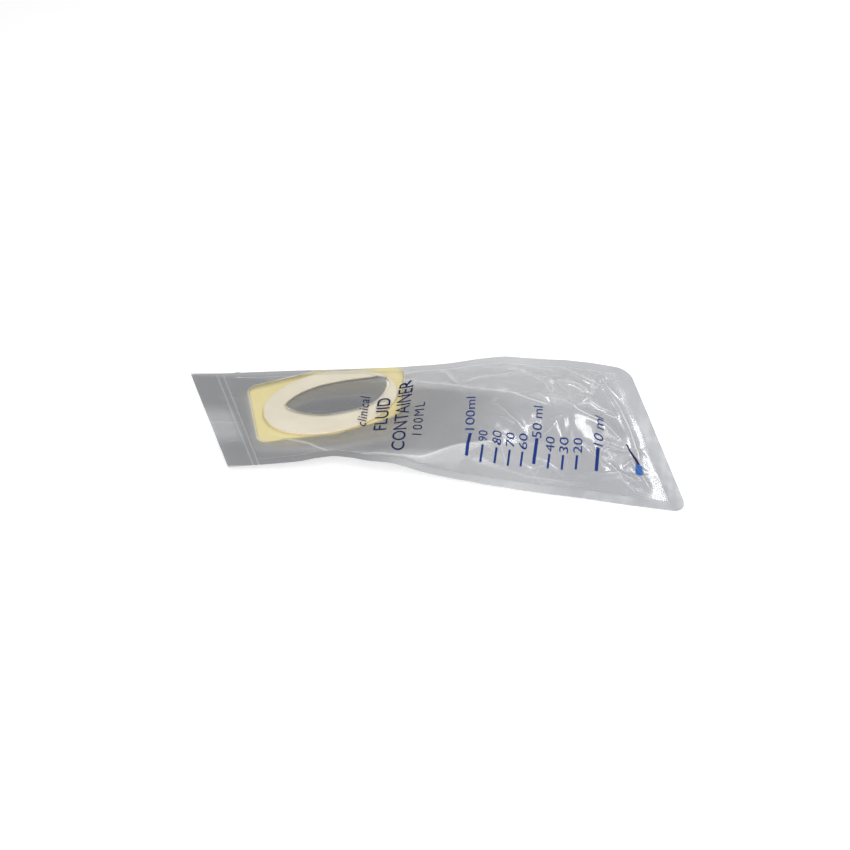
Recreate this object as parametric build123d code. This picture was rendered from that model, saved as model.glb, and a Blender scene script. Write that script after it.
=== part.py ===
from build123d import *
import math
import os

# ---------------------------------------------------------------- driving dimensions, mm
FILM = 0.30               # thickness of each film as modelled
FILM_GAP = 0.05           # clearance between pieces that lie on one another
WELD_SIDE = 5.0           # width of the two side welds
WELD_BOTTOM = 7.0         # width of the slanted bottom weld
BAND_START = 12.0         # header length before the top weld band
BAND_END = 16.0           # far side of the top weld band
LENGTH_FRONT = 220.5      # bag length along the front edge
LENGTH_REAR = 193.5       # bag length along the rear edge
CORNER_R = 7.0            # rounded bottom corners
BULGE_PAD = 6.0           # rise of the printed film over the pad
BULGE_BODY = 8.5          # rise of the printed film over the scale
BELLY = 5.0               # sag of the underside film below the scale
PAD_PITCH = 0.0889        # slope of the pad plane along X
PAD_ROLL = 0.01408        # slope of the pad plane along Y
PAD_LEVEL = 10.87         # height of the pad plane at the table origin
PAD_CENTRE = (-46.0, 5.7)
PAD_YAW = 11.5            # degrees from X
LINER_R = 6.0
LINER_T = 0.25
LINER_CORNERS = [(-42.5, 21.3), (-9.0, 30.3), (35.5, 26.0), (33.0, -18.5), (2.0, -29.2), (-34.3, -30.0)]
OPENING = [
    (-23.1, -1.6),
    (-18.0, 6.9),
    (-9.5, 13.0),
    (1.7, 16.3),
    (14.4, 17.4),
    (24.6, 16.9),
    (27.5, 10.6),
    (25.7, 1.0),
    (20.0, -7.4),
    (9.5, -12.3),
    (-4.8, -13.6),
    (-16.5, -8.8),
]
RING_CENTRE = (-1.0, -1.0)
RING_TURN = 18.0           # degrees from the pad's X
RING_LENGTH = 66.0
RING_WIDTH = 54.0
FOAM_T = 1.2
GLUE_T = 0.20
INK_T = 0.12
INK_SINK = 0.04           # depth of the ink into the film face

# Edge stations: distance along the bag, front edge XYZ, rear edge XYZ
STATIONS = [
    (0.0, (-81.8, -53.3, 2.8), (-123.2, 27.0, 0.3)),
    (12.0, (-70.5, -51.8, 3.9), (-111.0, 28.0, 1.4)),
    (16.0, (-66.6, -51.2, 4.2), (-107.0, 28.4, 1.8)),
    (36.0, (-49.7, -49.0, 5.8), (-82.0, 31.0, 4.0)),
    (60.0, (-29.0, -47.5, 7.6), (-52.0, 35.0, 6.7)),
    (84.0, (-8.0, -46.5, 9.5), (-24.0, 38.5, 9.3)),
    (104.0, (10.0, -46.0, 9.0), (-1.0, 41.0, 11.4)),
    (126.0, (31.0, -46.2, 5.5), (22.0, 41.3, 15.0)),
    (150.0, (54.0, -47.5, 2.0), (48.0, 39.3, 18.2)),
    (176.0, (80.0, -50.0, 0.9), (75.0, 36.2, 19.9)),
    (200.0, (104.0, -51.5, 0.6), (100.0, 34.0, 20.6)),
    (222.0, (126.0, -52.5, 0.6), (122.0, 32.5, 21.2)),
]


# ---------------------------------------------------------------- the bag's own surface
def smooth(a, b, t):
    t = min(1.0, max(0.0, (t - a) / (b - a)))
    return t * t * (3.0 - 2.0 * t)


def pad_plane(x, y):
    return PAD_LEVEL + PAD_PITCH * x + PAD_ROLL * y


def tangent(i, side, k):
    lo = max(0, i - 1)
    hi = min(len(STATIONS) - 1, i + 1)
    return (STATIONS[hi][side][k] - STATIONS[lo][side][k]) / (STATIONS[hi][0] - STATIONS[lo][0])


def edge(u, side):
    i = 0
    while i < len(STATIONS) - 2 and u > STATIONS[i + 1][0]:
        i += 1
    ua = STATIONS[i][0]
    ub = STATIONS[i + 1][0]
    h = ub - ua
    t = (u - ua) / h
    out = []
    for k in range(3):
        p = STATIONS[i][side][k]
        q = STATIONS[i + 1][side][k]
        m = tangent(i, side, k) * h
        n = tangent(i + 1, side, k) * h
        a = (2 * t ** 3 - 3 * t ** 2 + 1) * p
        b = (t ** 3 - 2 * t ** 2 + t) * m
        c = (3 * t ** 2 - 2 * t ** 3) * q
        d = (t ** 3 - t ** 2) * n
        out.append(a + b + c + d)
    return out


def end_u(v):
    return LENGTH_FRONT + (LENGTH_REAR - LENGTH_FRONT) * v


def chord(u, v):
    n = edge(u, 1)
    f = edge(u, 2)
    x = n[0] + (f[0] - n[0]) * v
    y = n[1] + (f[1] - n[1]) * v
    z = n[2] + (f[2] - n[2]) * v
    w = smooth(98.0, 128.0, u)
    return x, y, pad_plane(x, y) * (1.0 - w) + z * w


def width(u):
    n = edge(u, 1)
    f = edge(u, 2)
    return math.dist(n, f)


def side_v(u):
    return WELD_SIDE / width(u)


def across(u, v):
    m = side_v(u)
    t = min(1.0, max(0.0, (v - m) / (1.0 - 2.0 * m)))
    return 4.0 * t * (1.0 - t)


def rise(u, v):
    end = end_u(v) - WELD_BOTTOM
    near_top = smooth(BAND_END, BAND_END + 18.0, u)
    near_end = smooth(end, end - 40.0, u)
    height = BULGE_PAD + (BULGE_BODY - BULGE_PAD) * smooth(80.0, 130.0, u)
    return height * near_top * near_end * across(u, v)


def sag(u, v):
    end = end_u(v) - WELD_BOTTOM
    return BELLY * smooth(106.0, 150.0, u) * smooth(end, end - 40.0, u) * across(u, v)


def upper(u, v, lift=0.0):
    x, y, z = chord(u, v)
    return Vector(x, y, z + FILM + FILM_GAP + rise(u, v) + lift)


def lower(u, v, lift=0.0):
    x, y, z = chord(u, v)
    return Vector(x, y, z - sag(u, v) + lift)


def patch(fn, u_from, u_to, v_from, v_to, thick, nu, nv, lift=0.0):
    rows = []
    for i in range(nu + 1):
        row = []
        for j in range(nv + 1):
            s = i / nu
            t = j / nv
            u_mid = (u_from(0.5) + (u_to(0.5) - u_from(0.5)) * s)
            va = v_from(u_mid)
            vb = v_to(u_mid)
            v = va + (vb - va) * t
            u = u_from(v) + (u_to(v) - u_from(v)) * s
            row.append(fn(u, v, lift))
        rows.append(row)
    face = Face.make_surface_from_array_of_points(rows, tol=0.02)
    return Solid.thicken(face, thick, normal_override=Vector(0, 0, 1))


def const(value):
    return lambda _: value


# ---------------------------------------------------------------- films and welds
g = FILM_GAP
stack = 2 * FILM + FILM_GAP


def inner_lo(u):
    return side_v(u) + 0.25 / width(u)


def inner_hi(u):
    return 1.0 - side_v(u) - 0.25 / width(u)


def inner_end(v):
    return end_u(v) - WELD_BOTTOM - g


def bottom_start(v):
    return end_u(v) - WELD_BOTTOM


def rear_start(u):
    return 1.0 - side_v(u)


printed_film = patch(upper, const(BAND_END + g), inner_end, inner_lo, inner_hi, FILM, 40, 18)
opening_film = patch(lower, const(BAND_END + g), inner_end, inner_lo, inner_hi, FILM, 40, 18)
top_weld = patch(lower, const(BAND_START), const(BAND_END), const(0.0), const(1.0), stack, 4, 10)
header = patch(lower, const(0.0), const(BAND_START - g), const(0.0), const(1.0), FILM, 4, 10)
header_top = patch(lower, const(0.0), const(BAND_START - g), const(0.0), const(1.0), FILM, 4, 10, FILM + g)
bottom_weld = patch(lower, bottom_start, end_u, const(0.0), const(1.0), stack, 4, 12)
front_weld = patch(lower, const(BAND_END + g), inner_end, const(0.0), side_v, stack, 40, 3)
rear_weld = patch(lower, const(BAND_END + g), inner_end, rear_start, const(1.0), stack, 40, 3)

# rounded corners of the bottom weld
near_a = edge(190.0, 1)
near_b = edge(LENGTH_FRONT, 1)
far_a = edge(190.0, 2)
far_b = edge(LENGTH_REAR, 2)
near_dir = Vector(near_b[0] - near_a[0], near_b[1] - near_a[1], 0).normalized()
far_dir = Vector(far_b[0] - far_a[0], far_b[1] - far_a[1], 0).normalized()
pa = Vector(near_b[0], near_b[1], 0)
pb = Vector(far_b[0], far_b[1], 0)
outline = make_face(
    Polyline(
        tuple(pa - near_dir * 60),
        tuple(pa),
        tuple(pb),
        tuple(pb - far_dir * 45),
        close=True,
    )
)
corners = []
for p in outline.vertices():
    spot_xy = Vector(p.X, p.Y, 0)
    if (spot_xy - pa).length < 1 or (spot_xy - pb).length < 1:
        corners.append(p)
outline = fillet(corners, CORNER_R)
keep = extrude(outline, 60, both=True)
bottom_weld = keep & bottom_weld

# ---------------------------------------------------------------- pad on the underside
yaw = math.radians(PAD_YAW)
normal = Vector(-PAD_PITCH, -PAD_ROLL, 1).normalized()
pad_climb = PAD_PITCH * math.cos(yaw) + PAD_ROLL * math.sin(yaw)
pad_x = Vector(math.cos(yaw), math.sin(yaw), pad_climb).normalized()
pad_z = pad_plane(PAD_CENTRE[0], PAD_CENTRE[1])
pad = Plane(origin=(PAD_CENTRE[0], PAD_CENTRE[1], pad_z), x_dir=pad_x, z_dir=normal)


def pad_opening():
    tip = OPENING[0]
    return make_face(Spline(*OPENING, tip, tangents=((0.0, 1.0), (0.0, 1.0))))


def pad_layer(sketch, top, thick):
    return pad * (Pos(0, 0, top - thick) * extrude(sketch, thick))


hole = pad_opening()
ring = Pos(*RING_CENTRE) * (Rot(0, 0, RING_TURN) * Ellipse(RING_LENGTH / 2, RING_WIDTH / 2)) - hole
film_adhesive = pad_layer(ring, -g, GLUE_T)
foam_ring = pad_layer(ring, -2 * g - GLUE_T, FOAM_T)
skin_adhesive = pad_layer(ring, -3 * g - GLUE_T - FOAM_T, GLUE_T)
liner_top = -4 * g - 2 * GLUE_T - FOAM_T
liner_shape = make_face(Polyline(*LINER_CORNERS, close=True))
liner_shape = fillet(liner_shape.vertices(), LINER_R)
release_liner = pad_layer(liner_shape - hole, liner_top, LINER_T)
cutter = pad * (Pos(0, 0, -2) * extrude(hole, 6))
opening_film = opening_film - cutter


# ---------------------------------------------------------------- printing
SCALE_U = [121.4 + 6.18 * i for i in range(9)] + [180.0]   # distance of each mark along the bag
LONG_TICKS = {0: "100 ml", 5: "50 ml", 9: "10 ml"}


def bar(u_from, u_to, v_from, v_to, across_count):
    return patch(upper, u_from, u_to, const(v_from), const(v_to), INK_T, 2, across_count, FILM - INK_SINK)


def tick(u, v_from, v_to, wide):
    half = wide / 2
    return bar(const(u - half), const(u + half), v_from, v_to, 6)


GLYPHS = {
    "0": [[(0, 1), (0, 5), (1, 6), (3, 6), (4, 5), (4, 1), (3, 0), (1, 0), (0, 1)]],
    "1": [[(0.6, 4.6), (2, 6), (2, 0)]],
    "2": [[(0, 5), (1, 6), (3, 6), (4, 5), (4, 3.9), (0, 0), (4, 0)]],
    "3": [[(0, 6), (4, 6), (2, 3.6), (3.2, 3.4), (4, 2.4), (4, 1), (3, 0), (1, 0), (0, 1)]],
    "4": [[(3, 0), (3, 6), (0, 1.8)], [(0, 1.8), (4, 1.8)]],
    "5": [[(4, 6), (0.4, 6), (0, 3.3), (2.6, 3.7), (4, 2.6), (4, 1), (3, 0), (1, 0), (0, 0.8)]],
    "6": [
        [(3.6, 6), (1.4, 4.6), (0, 2.6), (0, 1), (1, 0), (3, 0), (4, 1), (4, 2.4)],
        [(4, 2.4), (3, 3.4), (0.4, 3)],
    ],
    "7": [[(0, 6), (4, 6), (1.4, 0)]],
    "8": [
        [(1, 3.2), (0, 4.2), (0, 5.2), (1, 6), (3, 6), (4, 5.2), (4, 4.2), (3, 3.2), (1, 3.2)],
        [(1, 3.2), (0, 2.2), (0, 0.9), (1, 0), (3, 0), (4, 0.9), (4, 2.2), (3, 3.2)],
    ],
    "9": [
        [(0.4, 0), (2.6, 1.4), (4, 3.4), (4, 5), (3, 6), (1, 6), (0, 5), (0, 3.6)],
        [(0, 3.6), (1, 2.6), (3.6, 3)],
    ],
    "m": [[(0, 0), (0, 4)], [(0, 3), (1, 4), (2, 3), (2, 0)], [(2, 3), (3, 4), (4, 3), (4, 0)]],
    "l": [[(1.5, 0), (1.5, 6)]],
}


def glyph(ch, size, at_u, at_v):
    parts = []
    for line in GLYPHS[ch]:
        pts = [((px - 2) * size / 6, (py - 3) * size / 6) for px, py in line]
        parts.append(trace(Polyline(*pts), line_width=size * 0.13))
    shape = parts[0]
    for extra in parts[1:]:
        shape = shape + extra
    p = upper(at_u, at_v, FILM)
    du = upper(at_u + 1, at_v, FILM) - upper(at_u - 1, at_v, FILM)
    dv = upper(at_u, at_v + 0.01, FILM) - upper(at_u, at_v - 0.01, FILM)
    nz = du.cross(dv).normalized()
    spot = Plane(origin=p, x_dir=dv, z_dir=nz)
    body = extrude(shape, INK_T)
    return spot * (Pos(0, 0, -INK_SINK) * body)


def word(text, size, at_u, v_start):
    solids = []
    step = size * 0.86
    for i, ch in enumerate(text):
        if ch != " ":
            v = v_start + (i + 0.5) * step / width(at_u)
            solids += glyph(ch, size, at_u, v).solids()
    return solids


ticks = []
for i, u in enumerate(SCALE_U):
    shift = 0.0055 * i
    if i in LONG_TICKS:
        ticks += tick(u, 0.105 + shift, 0.24 + shift, 0.9).solids()
    else:
        ticks += tick(u, 0.115 + shift * 0.5, 0.19 + shift * 0.5, 0.8).solids()
graduation_ticks = Compound(children=ticks)

numbers = []
for i, u in enumerate(SCALE_U):
    shift = 0.0055 * i
    if i in LONG_TICKS:
        numbers += word(LONG_TICKS[i], 4.0, u, 0.26 + shift)
    else:
        numbers += word(str(100 - 10 * i), 4.0, u, 0.205 + shift * 0.5)
graduation_numerals = Compound(children=numbers)

# each of the four label lines stands here as two plain bars: middle, both ends across the bag, letter height
LABEL_LINES = [
    (72.0, 0.27, 0.56, 2.6),
    (80.0, 0.24, 0.51, 5.2),
    (89.5, 0.11, 0.67, 5.6),
    (96.8, 0.18, 0.44, 3.2),
]
bars = []
for u, va, vb, tall in LABEL_LINES:
    for side in (-1, 1):
        at = u + side * tall * 0.36
        bars += bar(const(at - 0.5), const(at + 0.5), va, vb, 12).solids()
label_print = Compound(children=bars)



def slant_low(v):
    return 193.2 + (0.39 - v) * 43.6


def slant_high(v):
    return slant_low(v) + 1.4


flag = bar(const(196.6), const(200.2), 0.19, 0.265, 4)
slant = bar(slant_low, slant_high, 0.285, 0.39, 6)
drain_mark = Compound(children=flag.solids() + slant.solids())

# ---------------------------------------------------------------- seat on the origin and write
nodes = {
    "printed_film": printed_film,
    "opening_film": opening_film,
    "header_front_sheet": header_top,
    "header_back_sheet": header,
    "top_weld": top_weld,
    "bottom_weld": bottom_weld,
    "front_side_weld": front_weld,
    "rear_side_weld": rear_weld,
    "film_adhesive_ring": film_adhesive,
    "foam_ring": foam_ring,
    "skin_adhesive_ring": skin_adhesive,
    "release_liner": release_liner,
    "graduation_ticks": graduation_ticks,
    "graduation_numerals": graduation_numerals,
    "label_print": label_print,
    "drain_mark": drain_mark,
}
boxes = [shape.bounding_box() for shape in nodes.values()]
low = Vector(min(b.min.X for b in boxes), min(b.min.Y for b in boxes), min(b.min.Z for b in boxes))
high = Vector(max(b.max.X for b in boxes), max(b.max.Y for b in boxes), max(b.max.Z for b in boxes))
seat = Pos(-(low.X + high.X) / 2, -(low.Y + high.Y) / 2, -low.Z)

os.makedirs("parts", exist_ok=True)
for name, shape in nodes.items():
    moved = seat * shape
    solids = moved.solids()
    keep_shape = solids[0] if len(solids) == 1 else Compound(children=solids)
    export_step(keep_shape, "parts/" + name + ".step")
    box = keep_shape.bounding_box()
    print(name, len(solids), [round(v, 1) for v in (*box.min, *box.max)], round(keep_shape.volume, 1))
print("seat", seat.position)
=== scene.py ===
import math
import random

import bmesh
import bpy
import numpy as np
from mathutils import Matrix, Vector


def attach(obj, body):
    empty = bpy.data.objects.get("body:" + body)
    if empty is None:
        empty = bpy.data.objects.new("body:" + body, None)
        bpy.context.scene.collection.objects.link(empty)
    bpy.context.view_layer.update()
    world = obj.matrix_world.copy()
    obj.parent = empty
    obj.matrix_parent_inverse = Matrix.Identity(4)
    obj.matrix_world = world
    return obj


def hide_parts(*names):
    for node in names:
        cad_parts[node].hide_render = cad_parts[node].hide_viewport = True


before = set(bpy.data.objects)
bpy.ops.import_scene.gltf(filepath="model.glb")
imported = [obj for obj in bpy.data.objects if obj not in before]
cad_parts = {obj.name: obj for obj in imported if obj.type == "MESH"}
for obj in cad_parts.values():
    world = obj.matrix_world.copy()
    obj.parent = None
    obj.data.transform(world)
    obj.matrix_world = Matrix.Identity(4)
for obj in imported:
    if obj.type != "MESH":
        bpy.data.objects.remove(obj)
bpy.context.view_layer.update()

MM = 0.001

# ---------------------------------------------------------------- bag dimensions, mm, as in the CAD
SEAT = np.array([0.927591, 5.92539, -0.29768])   # bag table frame to row frame
PAD_PITCH = 0.0889
PAD_ROLL = 0.01408
PAD_LEVEL = 10.87
PAD_CENTRE = (-46.0, 5.7)
PAD_YAW = 11.5
FILM_STACK = 0.35          # the printed film's face above the underside film at a weld
BAND_START = 12.0
BAND_END = 16.0
WELD_SIDE = 5.0
WELD_BOTTOM = 7.0
LENGTH_FRONT = 220.5
LENGTH_REAR = 193.5
CORNER_R = 7.0
BELLY = 5.0
LOWEST = 0.35              # no film reaches lower than this above the table
PRINT_WIDTH = 88.0         # the bag's nominal width

# distance along the bag, front edge XYZ, rear edge XYZ
STATIONS = [
    (0.0, (-81.8, -53.3, 2.8), (-123.2, 26.6, 0.5)),
    (14.0, (-69.2, -51.2, 4.2), (-108.8, 28.0, 1.8)),
    (36.0, (-50.5, -47.8, 6.0), (-82.6, 30.2, 4.1)),
    (47.0, (-41.9, -44.7, 6.8), (-69.5, 31.2, 5.3)),
    (55.0, (-34.6, -43.2, 7.4), (-58.0, 31.8, 6.5)),
    (64.0, (-26.3, -44.3, 8.1), (-47.0, 32.6, 7.6)),
    (74.0, (-17.0, -46.6, 8.8), (-35.0, 33.5, 8.6)),
    (88.0, (-4.1, -45.8, 6.9), (-19.5, 34.8, 9.9)),
    (104.0, (10.0, -46.2, 4.3), (-1.0, 37.4, 11.3)),
    (126.0, (31.0, -48.0, 3.0), (22.0, 41.2, 14.6)),
    (136.0, (41.0, -48.3, 2.2), (33.0, 42.6, 16.0)),
    (150.0, (54.0, -48.4, 1.4), (48.0, 41.0, 17.2)),
    (176.0, (80.0, -49.6, 0.7), (75.0, 37.7, 19.2)),
    (200.0, (104.0, -51.2, 0.6), (100.0, 33.2, 20.0)),
    (222.0, (126.0, -52.7, 0.6), (122.0, 30.5, 20.6)),
]


# ---------------------------------------------------------------- the bag's surface, vectorised
def smooth(a, b, t):
    t = np.clip((np.asarray(t, float) - a) / (b - a), 0.0, 1.0)
    return t * t * (3.0 - 2.0 * t)


_U = np.array([s[0] for s in STATIONS])
_EDGE = {k: np.array([s[k] for s in STATIONS], float) for k in (1, 2)}
_TAN = {}
for _k, _p in _EDGE.items():
    _m = np.empty_like(_p)
    _m[1:-1] = (_p[2:] - _p[:-2]) / (_U[2:] - _U[:-2])[:, None]
    _m[0] = (_p[1] - _p[0]) / (_U[1] - _U[0])
    _m[-1] = (_p[-1] - _p[-2]) / (_U[-1] - _U[-2])
    _TAN[_k] = _m


def edge(u, side):
    u = np.asarray(u, float)
    i = np.clip(np.searchsorted(_U, u, side="right") - 1, 0, len(_U) - 2)
    h = (_U[i + 1] - _U[i])[..., None]
    t = ((u - _U[i]) / h[..., 0])[..., None]
    p, m = _EDGE[side], _TAN[side]
    return (
        (2 * t**3 - 3 * t**2 + 1) * p[i]
        + (t**3 - 2 * t**2 + t) * m[i] * h
        + (3 * t**2 - 2 * t**3) * p[i + 1]
        + (t**3 - t**2) * m[i + 1] * h
    )


def pad_plane(x, y):
    return PAD_LEVEL + PAD_PITCH * x + PAD_ROLL * y


def end_u(v):
    return LENGTH_FRONT + (LENGTH_REAR - LENGTH_FRONT) * np.asarray(v, float)


def width(u):
    return np.linalg.norm(edge(u, 2) - edge(u, 1), axis=-1)


def side_v(u):
    return WELD_SIDE / width(u)


def chord(u, v):
    n, f = edge(u, 1), edge(u, 2)
    v = np.asarray(v, float)
    p = n + (f - n) * v[..., None]
    early = 30.0 * (1 - np.clip(v, 0, 1)) ** 3
    t = np.clip((u - 92.0 + early) / 34.0, 0, 1)
    w = t * t * (3 - 2 * t)
    p[..., 2] = pad_plane(p[..., 0], p[..., 1]) * (1 - w) + p[..., 2] * w
    return p


def inside(u, v):
    """0 at the welds, 1 well inside the bag."""
    m = side_v(u)
    t = np.clip((v - m) / (1 - 2 * m), 0, 1)
    end = end_u(v) - WELD_BOTTOM
    return (
        np.minimum(1.0, 14.0 * t * (1 - t))
        * smooth(BAND_END, BAND_END + 9.0, u)
        * smooth(0.0, 9.0, end - u)
    )


def noise(x, y, seed, scale, octaves=3):
    """Smooth value noise from a few rotated cosines; the same on every run."""
    rng = random.Random(seed)
    out = np.zeros_like(x)
    amp = 1.0
    total = 0.0
    for _ in range(octaves):
        for _ in range(4):
            a = rng.uniform(0, math.tau)
            k = math.tau / (scale * rng.uniform(0.7, 1.4))
            phase = rng.uniform(0, math.tau)
            out += amp * np.cos(k * (x * math.cos(a) + y * math.sin(a)) + phase)
            total += amp
        amp *= 0.5
        scale *= 0.5
    return out / total * 2.0


def ridge(x, y, pts, high, wide, taper=0.25, sharp=0.35):
    """A crease along a polyline: a rounded tent, high at the line, that fades out at both ends."""
    pts = np.asarray(pts, float)
    seg = pts[1:] - pts[:-1]
    length = np.linalg.norm(seg, axis=1)
    start = np.concatenate([[0], np.cumsum(length)])
    best = np.full(x.shape, 1e9)
    along = np.zeros(x.shape)
    for i in range(len(seg)):
        if length[i] < 1e-9:
            continue
        dx, dy = x - pts[i, 0], y - pts[i, 1]
        t = np.clip((dx * seg[i, 0] + dy * seg[i, 1]) / length[i] ** 2, 0, 1)
        d = np.hypot(dx - t * seg[i, 0], dy - t * seg[i, 1])
        near = d < best
        best = np.where(near, d, best)
        along = np.where(near, start[i] + t * length[i], along)
    s = along / start[-1]
    fade = smooth(0, taper, s) * smooth(0, taper, 1 - s)
    q = best / wide
    shape = np.exp(-(np.sqrt(q * q + sharp * sharp) - sharp) * 1.9)
    return high * fade * shape


def random_creases(seed, count, box, angle, spread, length, high, wide):
    rng = random.Random(seed)
    found = []
    for _ in range(count):
        cx, cy = rng.uniform(box[0], box[1]), rng.uniform(box[2], box[3])
        a = math.radians(rng.gauss(angle, spread))
        half = rng.uniform(*length) / 2
        bend = rng.uniform(-0.25, 0.25) * half
        dx, dy = math.cos(a), math.sin(a)
        pts = []
        for s in (-1, -0.5, 0, 0.5, 1):
            off = bend * (1 - s * s)
            pts.append((cx + dx * half * s - dy * off, cy + dy * half * s + dx * off))
        sign = 1 if rng.random() < 0.65 else -1
        found.append((pts, sign * rng.uniform(*high), rng.uniform(*wide)))
    return found


# the long folds in the printed film, in the bag's own XY
FOLD_FRONT = [(-70, -25), (-66.7, -28.8), (-52.6, -34.2), (-44.9, -37.2), (-36, -39.6), (-24, -41),
              (-10, -40.6), (3.9, -38.7), (18.2, -34.5), (34, -30), (50, -26.5)]
FOLD_REAR = [(-39, 32), (-35.7, 30.2), (-25, 23.6), (-13.5, 17.7), (0.4, 12.5), (20.4, 7.0), (40.9, 4.0),
             (60.3, -2.1)]
FOLDS_UPPER = [
    (FOLD_FRONT, 1.5, 2.2),
    (FOLD_REAR, 1.5, 2.4),
    ([(2.3, 34), (6, 26), (10, 18), (14.5, 10)], 0.9, 1.8),
    ([(-34, -42), (-26, -39.5), (-16, -40.5)], -1.2, 2.2),
    ([(-2, 34), (-12, 27), (-24, 24)], 0.5, 2.0),
    # body of the bag, towards the drain end
    ([(33, 30), (44, 24), (54, 15), (60, 4)], 1.2, 2.2),
    ([(38, 38), (46, 31), (58, 27)], 1.0, 2.2),
    ([(48, 22), (60, 17), (72, 16), (80, 12)], 1.1, 2.0),
    ([(60, 36), (66, 27), (76, 22), (86, 20)], 1.2, 2.4),
    ([(82, 22), (90, 8), (96, -6), (101, -22), (104, -34)], 1.3, 1.8),
    ([(20, -34), (36, -38), (52, -41), (70, -42), (86, -43)], 0.7, 2.2),
    ([(24, 2), (36, -6), (46, -16), (52, -26)], 0.7, 2.6),
    ([(62, 4), (72, -4), (84, -8), (94, -16)], 0.8, 2.2),
    ([(70, 10), (82, 2), (92, 0)], 0.8, 1.8),
    ([(84, -38), (94, -36), (104, -40)], 0.9, 2.0),
    ([(14, 12), (24, 20), (36, 22), (46, 30)], 0.7, 2.2),
    ([(80, 30), (84, 20), (92, 12)], 0.8, 1.6),
    ([(96, -24), (103, -34), (109, -45)], 1.0, 1.5),
    ([(102, -18), (108, -30), (115, -40)], 0.9, 1.6),
    ([(88, -30), (96, -40), (104, -46)], 0.8, 1.5),
    ([(100, 26), (104, 12), (107, -4)], 0.8, 1.4),
    ([(92, 30), (97, 18), (100, 6)], 0.7, 1.3),
]
FOLDS_UPPER += [(FOLD_FRONT, 0.35, 0.7), (FOLD_REAR, 0.35, 0.7)]
FOLDS_LOWER = [
    ([(10, 20), (30, 10), (52, 4), (74, -2)], -1.2, 2.6),
    ([(20, -20), (44, -14), (66, -18), (88, -12)], -1.0, 2.4),
    ([(60, 20), (74, 8), (90, 2)], -1.0, 2.4),
]
FOLDS_UPPER += random_creases(11, 26, (22, 100, -34, 32), -38, 26, (10, 34), (0.15, 0.6), (0.9, 2.0))
FOLDS_UPPER += random_creases(12, 16, (50, 104, -40, 30), 62, 24, (8, 24), (0.15, 0.55), (0.8, 1.8))
FOLDS_UPPER += random_creases(13, 10, (-80, -8, -36, 26), 12, 26, (10, 28), (0.08, 0.22), (0.8, 1.6))
FOLDS_UPPER += random_creases(16, 14, (34, 106, -45, -24), 8, 34, (10, 28), (0.2, 0.55), (0.9, 1.8))
FOLDS_LOWER += random_creases(14, 26, (14, 100, -34, 30), 20, 50, (14, 40), (0.2, 0.7), (1.2, 2.6))

# small wrinkles that cross the header and the top weld
FOLDS_ALL = [
    ([(-110, -19), (-96, -18), (-81, -17)], 0.38, 1.3),
    ([(-105, 5), (-95, 4), (-85, 2.5)], 0.34, 1.2),
    ([(-100, -9), (-91, -10), (-84, -9)], 0.2, 1.0),
    ([(-116, 14), (-104, 13), (-94, 12)], 0.18, 1.2),
    ([(-92, -34), (-84, -33), (-76, -35)], 0.2, 1.2),
    ([(-101, 31), (-98, 26), (-96, 20)], 0.4, 1.6),
]


def common(u, v, p):
    """Small waves that the whole bag shares, welds included."""
    x, y = p[..., 0], p[..., 1]
    z = np.zeros_like(x)
    for pts, high, wide in FOLDS_ALL:
        z += ridge(x, y, pts, high, wide)
    free = smooth(96.0, 120.0, u)
    z += free * 0.25 * noise(x, y, 5, 34, 2)
    for at in (BAND_START + 0.5, BAND_END - 0.5):
        z += 0.16 * np.exp(-(((u - at) / 0.45) ** 2))
    header = 1 - smooth(8.0, 17.0, u)
    z += header * 0.35 * np.abs(noise(x, y, 6, 46, 1))
    return z


# where the two long folds cross the bag: distance along it, share of its width
FOLD_A = (
    [16, 27, 39, 53, 78, 98, 114, 145, 170, 222],
    [0.5, 0.28, 0.16, 0.06, 0.05, 0.07, 0.11, 0.22, 0.3, 0.35],
)
FOLD_B = (
    [16, 50, 72, 90, 102, 121, 141, 160, 222],
    [0.7, 0.95, 0.94, 0.77, 0.68, 0.62, 0.58, 0.54, 0.5],
)


def profile(u, v):
    """The printed film's rise across the bag: flat between its two long folds, sloping at both sides."""
    m = side_v(u)
    t = np.clip((v - m) / (1 - 2 * m), 1e-4, 1 - 1e-4)
    a = np.interp(u, FOLD_A[0], FOLD_A[1])
    b = np.interp(u, FOLD_B[0], FOLD_B[1])
    mix = smooth(120.0, 165.0, u)
    one = t / a
    two = (1 - t) / (1 - b)
    k = 9.0
    flat = -np.log(np.exp(-k * one) + np.exp(-k * two) + np.exp(-k)) / k
    flat = np.clip(flat, 0, None)
    round_ = 4 * t * (1 - t)
    return flat * (1 - mix) + round_ * mix


def painted_light_facets(u, v):
    """Painted light: 1 on the two sloping facets beside the flat middle one, and in part on the header and two
    patches; the film is drawn lighter there in place of light falling on it.
    """
    m = side_v(u)
    t = np.clip((v - m) / (1 - 2 * m), 0, 1)
    a = np.interp(u, FOLD_A[0], FOLD_A[1])
    b = np.interp(u, FOLD_B[0], FOLD_B[1])
    front = smooth(a + 0.02, a - 0.03, t) * smooth(58, 100, u) * smooth(176, 150, u)
    rear = smooth(b - 0.01, b + 0.04, t) * smooth(76, 92, u) * smooth(172, 140, u)
    # painted light: a lighter header and two lighter patches
    header = 0.55 * smooth(16.0, 9.0, u) * smooth(0.2, 0.34, v) * smooth(0.68, 0.5, v)
    patch = 0.7 * np.exp(-(((u - 163) / 14) ** 2) - ((v - 0.6) / 0.12) ** 2)
    patch += 0.6 * np.exp(-(((u - 120) / 18) ** 2) - ((v - 0.07) / 0.05) ** 2)
    return np.maximum(np.maximum(0.6 * front, 0.45 * rear), np.maximum(header, patch))


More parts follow.
